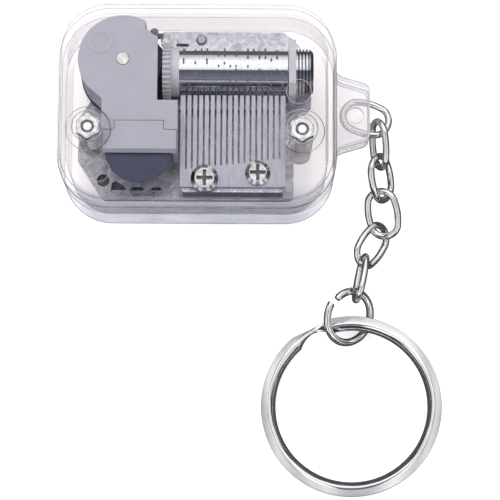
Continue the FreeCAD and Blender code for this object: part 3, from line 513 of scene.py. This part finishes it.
# how much of the inside, the outside, the crest and the inner fall a slimmer wire gives up
SLIM_IN, SLIM_OUT, SLIM_CREST, SLIM_DROP = 1.1, 0.5, 0.6, 0.4
PROFILE_RADII = (0.1, 0.5, 0.12, 0.12, 0.5, 0.1)
UPPER = COIL_T + COIL_GAP / 2
ring_turn = Matrix.Rotation(RING_PITCH, 3, "X") @ Matrix.Rotation(RING_DIP, 3, "Y")


def coil_section(degrees, low, up, slim):
    """A coil's cross-section: its free face falls from a crest near the inside to a thin outer edge."""
    angle = math.radians(degrees)
    inner, outer, tall = RING_R - RING_W + SLIM_IN * slim, RING_R - SLIM_OUT * slim, COIL_T - COIL_GAP / 2
    crest, inner_drop = inner + CREST_IN - SLIM_CREST * slim, INNER_DROP - SLIM_DROP * slim
    corners = [(inner, low + (1 - up) * inner_drop), (crest, low), (outer, low + (1 - up) * OUTER_DROP),
               (outer, low + tall - up * OUTER_DROP), (crest, low + tall),
               (inner, low + tall - up * inner_drop)]
    profile = rounded([Vector(c) for c in corners], PROFILE_RADII)
    return [RING_CENTER + ring_turn @ Vector((p.x * math.cos(angle), p.x * math.sin(angle), p.y))
            for p in profile]


# the lower coil, a ramp on which the wire is slimmer, and the upper coil
RAMP_START, COIL_START, COIL_TURN, COIL_STEPS, RAMP_STEPS = 104, 131, 333, 260, 24
coil_angles = [COIL_START + COIL_TURN * i / COIL_STEPS for i in range(COIL_STEPS + 1)]
sections = [coil_section(degrees, 0, 0, 0) for degrees in coil_angles]
for i in range(1, RAMP_STEPS):
    part = i / RAMP_STEPS
    rise = part ** 2 * (3 - 2 * part)
    sections.append(coil_section(RAMP_START + (COIL_START - RAMP_START) * part, UPPER * rise, rise,
                                 math.sin(math.pi * part)))
sections += [coil_section(degrees, UPPER, 1, 0) for degrees in coil_angles]
# each corner has five points: the outer slopes and the rim between them are matt, the rest is bright
OUTER_SLOPES = range(9, 20)
chain_piece("two_coil_ring", sections, False, "key_ring", "split_ring", [nickel.material, satin.material],
            OUTER_SLOPES)

# ---- Fine lines that the mould leaves on the clear case, and painted shade in small recesses and round the nuts ----


def fine_loop(name, path, lip, material):
    """A thin raised line along a closed path of points, on the case."""
    sections = []
    for i, here in enumerate(path):
        way = (path[(i + 1) % len(path)] - path[i - 1]).normalized()
        sections.append(wire_section(here, way.cross(UP).normalized(), UP, lip, 8))
    piece(name, skin(sections, True), [material], "case")


def circle(x, y, z, radius, steps=72):
    """Points round a level circle."""
    return [Vector((x + radius * math.cos(a), y + radius * math.sin(a), z))
            for a in (2 * math.pi * i / steps for i in range(steps))]


def case_outline(inset, z, steps=14):
    """Points round the case's rounded rectangle, inset from its outside."""
    corner = CORNER_R - inset
    points = []
    for sign_x, sign_y, start in ((1, 1, 0), (-1, 1, 90), (-1, -1, 180), (1, -1, 270)):
        cx, cy = sign_x * (CASE_W / 2 - CORNER_R), sign_y * (CASE_L / 2 - CORNER_R)
        for i in range(steps + 1):
            a = math.radians(start + 90 * i / steps)
            points.append(Vector((cx + corner * math.cos(a), cy + corner * math.sin(a), z)))
    return points


# lines lie this far inside the plastic, and those round the nuts a little less; lips are wire radii
SUNK, RIM_SUNK, MARK_LIP, LUG_LIP = 0.03, 0.02, 0.05, 0.1
EJECTOR_MARKS = (("head", -17.3, 11.4, 1.85), ("bearing", 17.9, 2.3, 2.2), ("corner", -17.3, -12.1, 2.05))
for label, x, y, radius in EJECTOR_MARKS:
    fine_loop(f"ejector_mark_{label}", circle(x, y, UNDER_FACE - SUNK, radius), MARK_LIP, moulding.material)
# the front face's rim, the end of its rounding, a step in the mould, the shells' joint, the back's rounding
SHELL_LINES = (("front_rim", 0.65, 19.85, 0.07, seam), ("front_round", SUNK, 18.8, 0.04, haze),
               ("step", SUNK, 15.5, 0.085, seam), ("joint", SUNK, JOINT_Z, 0.06, haze),
               ("back_round", SUNK, 1.2, 0.05, haze))
for label, inset, z, lip, finish in SHELL_LINES:
    fine_loop(f"shell_line_{label}", case_outline(inset, z), lip, finish.material)

# the edges of the lug's two plates, drawn just inside the plastic
LUG_CORNERS = [(24.6, -9.4), (24.6, -6.75), (30.7, -4.95), (30.7, 4.95), (24.6, 6.75), (24.6, 9.4)]
LUG_RADII, LUG_INSET = (0.2, 1.6, 1.3, 1.3, 1.6, 0.2), 0.13
LUG_LEVELS = (("front", 13.25), ("front_gap", 10.95), ("back_gap", 9.05), ("back", 6.75))
lug_path = [(p.x - LUG_INSET, p.y - math.copysign(LUG_INSET, p.y))
            for p in rounded([Vector(p) for p in LUG_CORNERS], LUG_RADII, 8)]
for label, z in LUG_LEVELS:
    fine_loop(f"lug_line_{label}", [Vector((x, y, z)) for x, y in lug_path], LUG_LIP, moulding.material)

# round each nut: painted shade in its mouth, a painted shadow at its seat's rim, a painted dark reflection on
# the chamfer line on its top, and its post's outline
THREAD_DEPTH, THREAD_GAP, THREAD_LIP, SEAT_SHADOW_LIP = 0.45, 0.17, 0.2, 0.09
CHAMFER_SHADE_R, CHAMFER_SHADE_LIP, BOSS_DEPTH, BOSS_LIP = 1.93, 0.045, 0.35, 0.07
for label, x, y in NUTS:
    fine_loop(f"thread_shade_{label}", circle(x, y, CASE_T - THREAD_DEPTH, BOLT_R + THREAD_GAP), THREAD_LIP,
              painted_shade.material)
    # a dark ring of painted shadow between the nut and its seat's wall
    fine_loop(f"seat_shadow_{label}", circle(x, y, CASE_T - RIM_SUNK, NUT_SEAT_R + RIM_SUNK), SEAT_SHADOW_LIP,
              shadow_and_edge.material)
    # a dark ring of painted reflection on the edge of the nut's chamfer
    nut_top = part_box(f"case_nut_{label}")[1][2] / MM
    fine_loop(f"nut_chamfer_shade_{label}", circle(x, y, nut_top, CHAMFER_SHADE_R), CHAMFER_SHADE_LIP, painted_shade.material)
    fine_loop(f"boss_line_{label}", circle(x, y, UNDER_FACE - BOSS_DEPTH, BOSS_R - RIM_SUNK), BOSS_LIP,
              shadow_and_edge.material)


def cross_recess(name, x, y, z, reach, width, rise=0.06, taper=0.94):
    """Painted shade in a driver recess: a dark cross with a square middle."""
    half, wide, mid = reach / 2, width / 2, width * 0.95
    quarter = [(half, -wide), (half, wide), (mid, wide), (wide, mid)]
    outline = []
    for _ in range(4):
        outline += quarter
        quarter = [(-py, px) for px, py in quarter]
    shape = bmesh.new()
    low = [shape.verts.new((x + px, y + py, z)) for px, py in outline]
    high = [shape.verts.new((x + px * taper, y + py * taper, z + rise)) for px, py in outline]
    shape.faces.new(high)
    shape.faces.new(low[::-1])
    for i in range(len(outline)):
        j = (i + 1) % len(outline)
        shape.faces.new((low[i], low[j], high[j], high[i]))
    piece(name, shape, [painted_shade.material], "case")


RECESS_REACH, RECESS_WIDTH, RECESS_RISE = 2.84, 0.6, 0.36
for label, x, y in COMB_SCREWS:
    cross_recess(f"comb_screw_recess_{label}", x, y, COMB_TOP + RECESS_RISE, RECESS_REACH, RECESS_WIDTH)

# ---- Floor ----

FLOOR_SIDE, FLOOR_DROP = 1.2, 0.0001
corners = [(sx * FLOOR_SIDE, sy * FLOOR_SIDE, 0) for sx, sy in ((-1, -1), (1, -1), (1, 1), (-1, 1))]
floor_mesh = bpy.data.meshes.new("floor")
floor_mesh.from_pydata(corners, [], [(0, 1, 2, 3)])
floor = link_object("floor", floor_mesh)
floor.location.z = -FLOOR_DROP
pale = Paint("floor_paper", (0.9, 0.9, 0.9), 0.9, Emission_Color=(1, 1, 1, 1), Emission_Strength=0.6)
pale.tint(pale.noise(0.02, 2), 0.98, 1.0)
# what the metal mirrors and what lights it from below is a darker table than the paper that the eye sees
seen_by = pale.tree.nodes.new("ShaderNodeLightPath")
dusk = pale.tree.nodes.new("ShaderNodeBsdfDiffuse")
choice = pale.tree.nodes.new("ShaderNodeMixShader")
pale.tree.links.new(pale.between(seen_by.outputs["Is Glossy Ray"], 0.6, 0.1, 0, 1), dusk.inputs["Color"])
pale.tree.links.new(seen_by.outputs["Is Camera Ray"], choice.inputs["Fac"])
pale.tree.links.new(dusk.outputs[0], choice.inputs[1])
pale.tree.links.new(pale.shader.outputs[0], choice.inputs[2])
pale.tree.links.new(choice.outputs[0], pale.tree.nodes["Material Output"].inputs["Surface"])
paint(floor, pale.material)

# ---- Lamps, for soft light that the metal does not mirror ----


def lamp(name, size, power, place, target):
    """A soft rectangular light that looks at a point."""
    data = bpy.data.lights.new(name, "AREA")
    data.shape = "RECTANGLE"
    data.size, data.size_y = size
    data.energy = power
    obj = link_object(name, data)
    obj.location = place
    obj.rotation_euler = (Vector(target) - Vector(place)).to_track_quat("-Z", "Y").to_euler()
    obj.visible_glossy = False


MIDDLE = (0.01, -0.02, 0.0)
lamp("top_soft", (0.5, 0.35), 3.2, (-0.12, 0.42, 0.62), MIDDLE)
lamp("left_soft", (0.3, 0.5), 1.3, (-0.6, -0.05, 0.42), MIDDLE)
lamp("right_soft", (0.2, 0.5), 0.8, (0.62, -0.1, 0.35), MIDDLE)

# ---- World: what polished metal mirrors is a long softbox over the far side, and a dark room on the near
# side with one thin bright slit and upright strips. Rows are (value, brightness), angles in degrees ----

SKY_SOFT = 0.6
# by the angle from overhead, positive towards the far side
NEAR_ROOM = [(-90, 0.04), (-69, 0.06), (-66, 0.6), (-60, 0.8), (-58, 0.02), (-55.5, 0.02), (-54, 0.26),
             (-30, 0.18), (-5, 0.11), (2, 0)]
FAR_BOX = [(-90, 0), (-4, 0), (2, 1.05), (16, 1.35), (50, 1.35), (64, 1.2), (72, 0.2), (90, 0.04)]
NEAR_BOXES = [(-90, 0), (-78, 0), (-72, 1), (-6, 1), (0, 0), (90, 0)]
# the drum's far side mirrors a pale wall behind the table
FAR_WALL = [(-90, 0), (64, 0), (72, 0.6), (90, 0.46)]
# across, from -1 at the far left to 1 at the far right
FAR_ACROSS = [(-1, 0.04), (-0.92, 0.04), (-0.89, 1.1), (-0.78, 1.1), (-0.74, 0.03), (-0.64, 0.03),
              (-0.59, 1.0), (0.59, 1.0), (0.64, 0.03), (0.74, 0.03), (0.78, 1.0), (0.88, 1.0), (0.91, 0.04),
              (1, 0.04)]
NEAR_ACROSS = [(-1, 0), (-0.88, 0), (-0.84, 1.1), (-0.7, 1.1), (-0.66, 0), (-0.54, 0), (-0.5, 1.2),
               (-0.24, 1.2), (-0.18, 0), (0.18, 0), (0.24, 1.2), (0.5, 1.2), (0.54, 0), (0.66, 0), (0.7, 1.0),
               (0.83, 1.0), (0.87, 0), (1, 0)]
WALL_ACROSS = [(-1, 0), (-0.34, 0), (-0.28, 1), (0.28, 1), (0.34, 0), (1, 0)]
# by height, from -1 straight below to 1 overhead
UNDER_TABLE = [(-1, 0.75), (-0.12, 0.75), (-0.04, 0), (1, 0)]

world = bpy.data.worlds.new("studio")
bpy.context.scene.world = world
world.use_nodes = True
sky = world.node_tree
split = sky.nodes.new("ShaderNodeSeparateXYZ")
sky.links.new(sky.nodes.new("ShaderNodeTexCoord").outputs["Generated"], split.inputs[0])
across, away, height = split.outputs


def sky_math(operation, *feeds):
    """One step of arithmetic on the sky's direction."""
    return arithmetic(sky, operation, *feeds)


def sky_ramp(feed, low, high, stops):
    """Brightness read off a row of (value, level) stops."""
    ramp = sky.nodes.new("ShaderNodeValToRGB")
    while len(ramp.color_ramp.elements) < len(stops):
        ramp.color_ramp.elements.new(1.0)
    for element, (value, level) in zip(ramp.color_ramp.elements, stops):
        element.position = (value - low) / (high - low)
        element.color = (level, level, level, 1)
    sky.links.new(sky_math("DIVIDE", sky_math("SUBTRACT", feed, low), high - low), ramp.inputs["Fac"])
    return ramp.outputs["Color"]


def total(*feeds):
    """The sum of several brightnesses."""
    result = feeds[0]
    for feed in feeds[1:]:
        result = sky_math("ADD", result, feed)
    return result


over = sky_math("MULTIPLY", sky_math("ARCTAN2", away, height), 180 / math.pi)
boxes = [sky_math("MULTIPLY", sky_ramp(over, -90, 90, by_angle), sky_ramp(across, -1, 1, by_side))
         for by_angle, by_side in ((FAR_BOX, FAR_ACROSS), (NEAR_BOXES, NEAR_ACROSS), (FAR_WALL, WALL_ACROSS))]
bands = total(*boxes, sky_ramp(over, -90, 90, NEAR_ROOM), sky_ramp(height, -1, 1, UNDER_TABLE))
rays = sky.nodes.new("ShaderNodeLightPath").outputs
mirrored = sky_math("MULTIPLY", bands, rays["Is Glossy Ray"])
soft = sky_math("MULTIPLY", sky_math("SUBTRACT", 1.0, rays["Is Glossy Ray"]), SKY_SOFT)
seen = sky_math("MULTIPLY", rays["Is Camera Ray"], 1.0 - SKY_SOFT)
background = sky.nodes["Background"]
sky.links.new(total(mirrored, soft, seen), background.inputs["Strength"])
# the dark parts of the room are a little blue
hue = sky.nodes.new("ShaderNodeValToRGB")
hue.color_ramp.elements[0].color = (0.82, 0.9, 1.2, 1)
hue.color_ramp.elements[1].color = (1, 1, 1, 1)
hue.color_ramp.elements[1].position = 0.75
sky.links.new(total(mirrored, soft), hue.inputs["Fac"])
sky.links.new(hue.outputs["Color"], background.inputs["Color"])

# ---- Camera: nearly overhead. Places are in metres, the lens and sensor in millimetres ----

AIM, DISTANCE, NEAREST = Vector((0.0094, -0.0228, 0)), 0.4, 0.01
LENS, SENSOR = 158.0, 36
TILT, ROLL = math.radians(10.47), math.radians(0.3)
camera_data = bpy.data.cameras.new("camera")
camera = link_object("camera", camera_data)
bpy.context.scene.camera = camera
camera_data.sensor_width = SENSOR
camera_data.lens = LENS
camera_data.clip_start = NEAREST
turn = Matrix.Rotation(TILT, 4, "X") @ Matrix.Rotation(ROLL, 4, "Z")
camera.matrix_world = Matrix.Translation(AIM) @ turn @ Matrix.Translation((0, 0, DISTANCE))
bpy.context.scene.view_settings.view_transform = "Standard"
